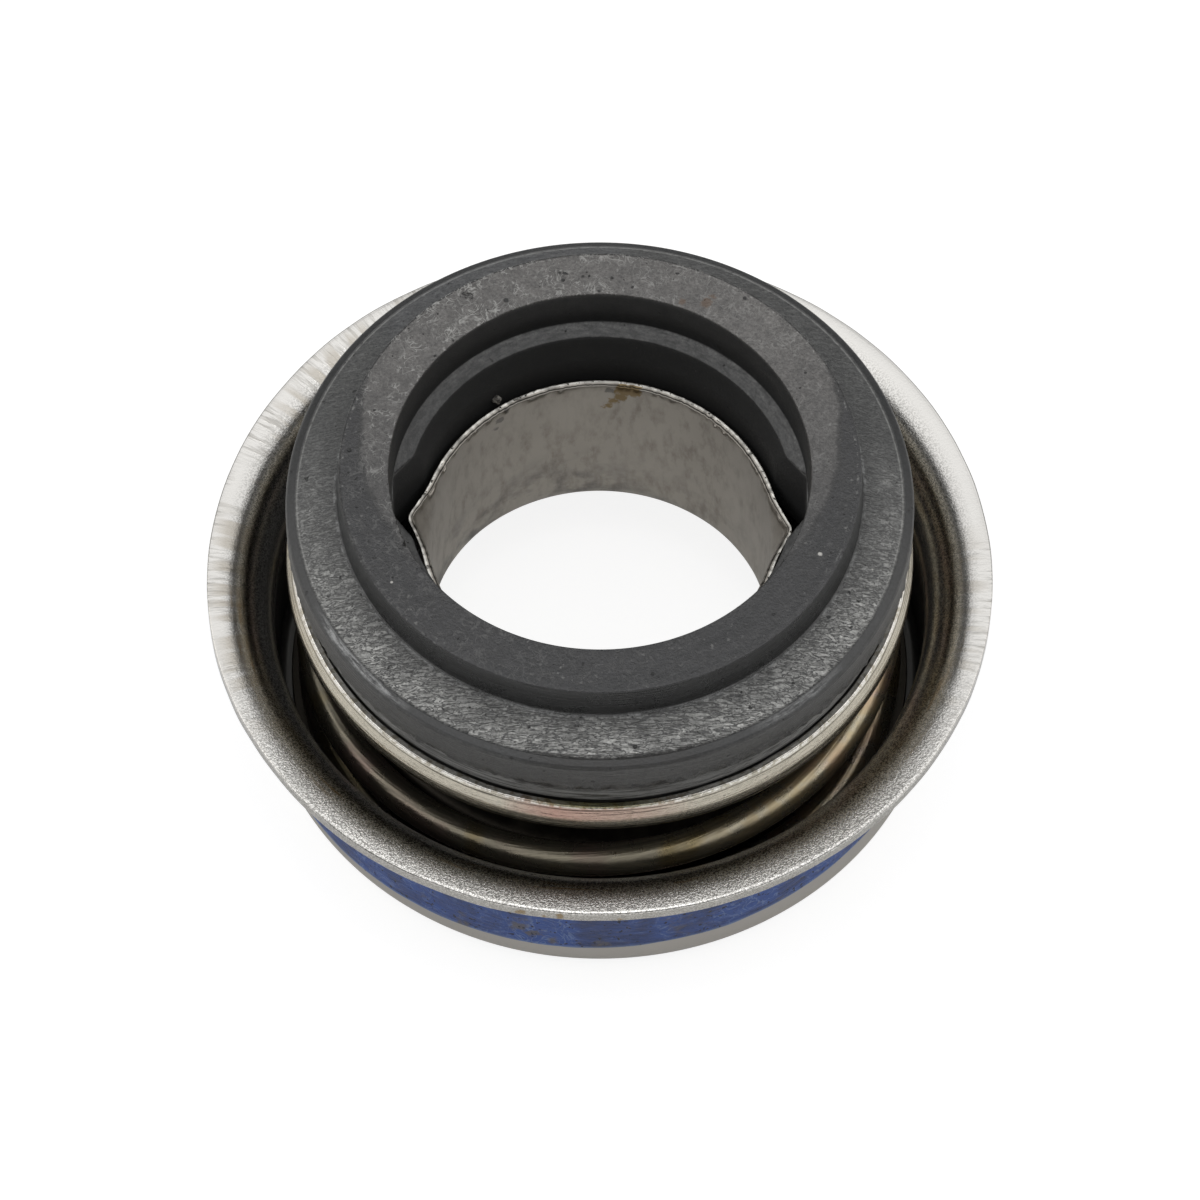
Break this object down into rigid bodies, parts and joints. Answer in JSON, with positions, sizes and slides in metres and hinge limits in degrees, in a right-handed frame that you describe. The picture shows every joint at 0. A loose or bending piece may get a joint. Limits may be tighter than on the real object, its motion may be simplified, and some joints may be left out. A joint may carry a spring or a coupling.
{
  "type": "water pump seal",
  "caption": "Cartridge water pump seal: flanged drawn steel case with inner tube, sprung black carbon face ring on a rubber bellows.",
  "frame": {"origin": "centre of the case's flat underside, on the shaft axis", "axes": "+Z along the shaft axis towards the carbon sealing face; the two drive lugs of the tube lie on +X and -X"},
  "size_m": [0.0324, 0.0324, 0.0159],
  "materials": {
    "stainless_sheet": "satin, deep drawn",
    "sealant": "dried lacquer",
    "carbon": "lapped face, moulded shoulder",
    "rubber": "moulded",
    "spring_wire": "drawn wire",
    "ring_steel": "rolled, bright"
  },
  "bodies": {
    "cartridge": {"case": "stainless_sheet", "sealant_band": "sealant", "spring_seat": "ring_steel", "coil_spring": "spring_wire"},
    "head": {"carbon_ring": "carbon", "retainer_ring": "ring_steel", "bellows": "rubber"}
  },
  "joints": [
    {"name": "head_slide", "type": "slide", "parent": "cartridge", "child": "head", "axis": [0, 0, 1], "range_m": [-0.0025, 0], "stiffness_N_per_m": 12000, "deforming": ["coil_spring", "bellows"]}
  ]
}
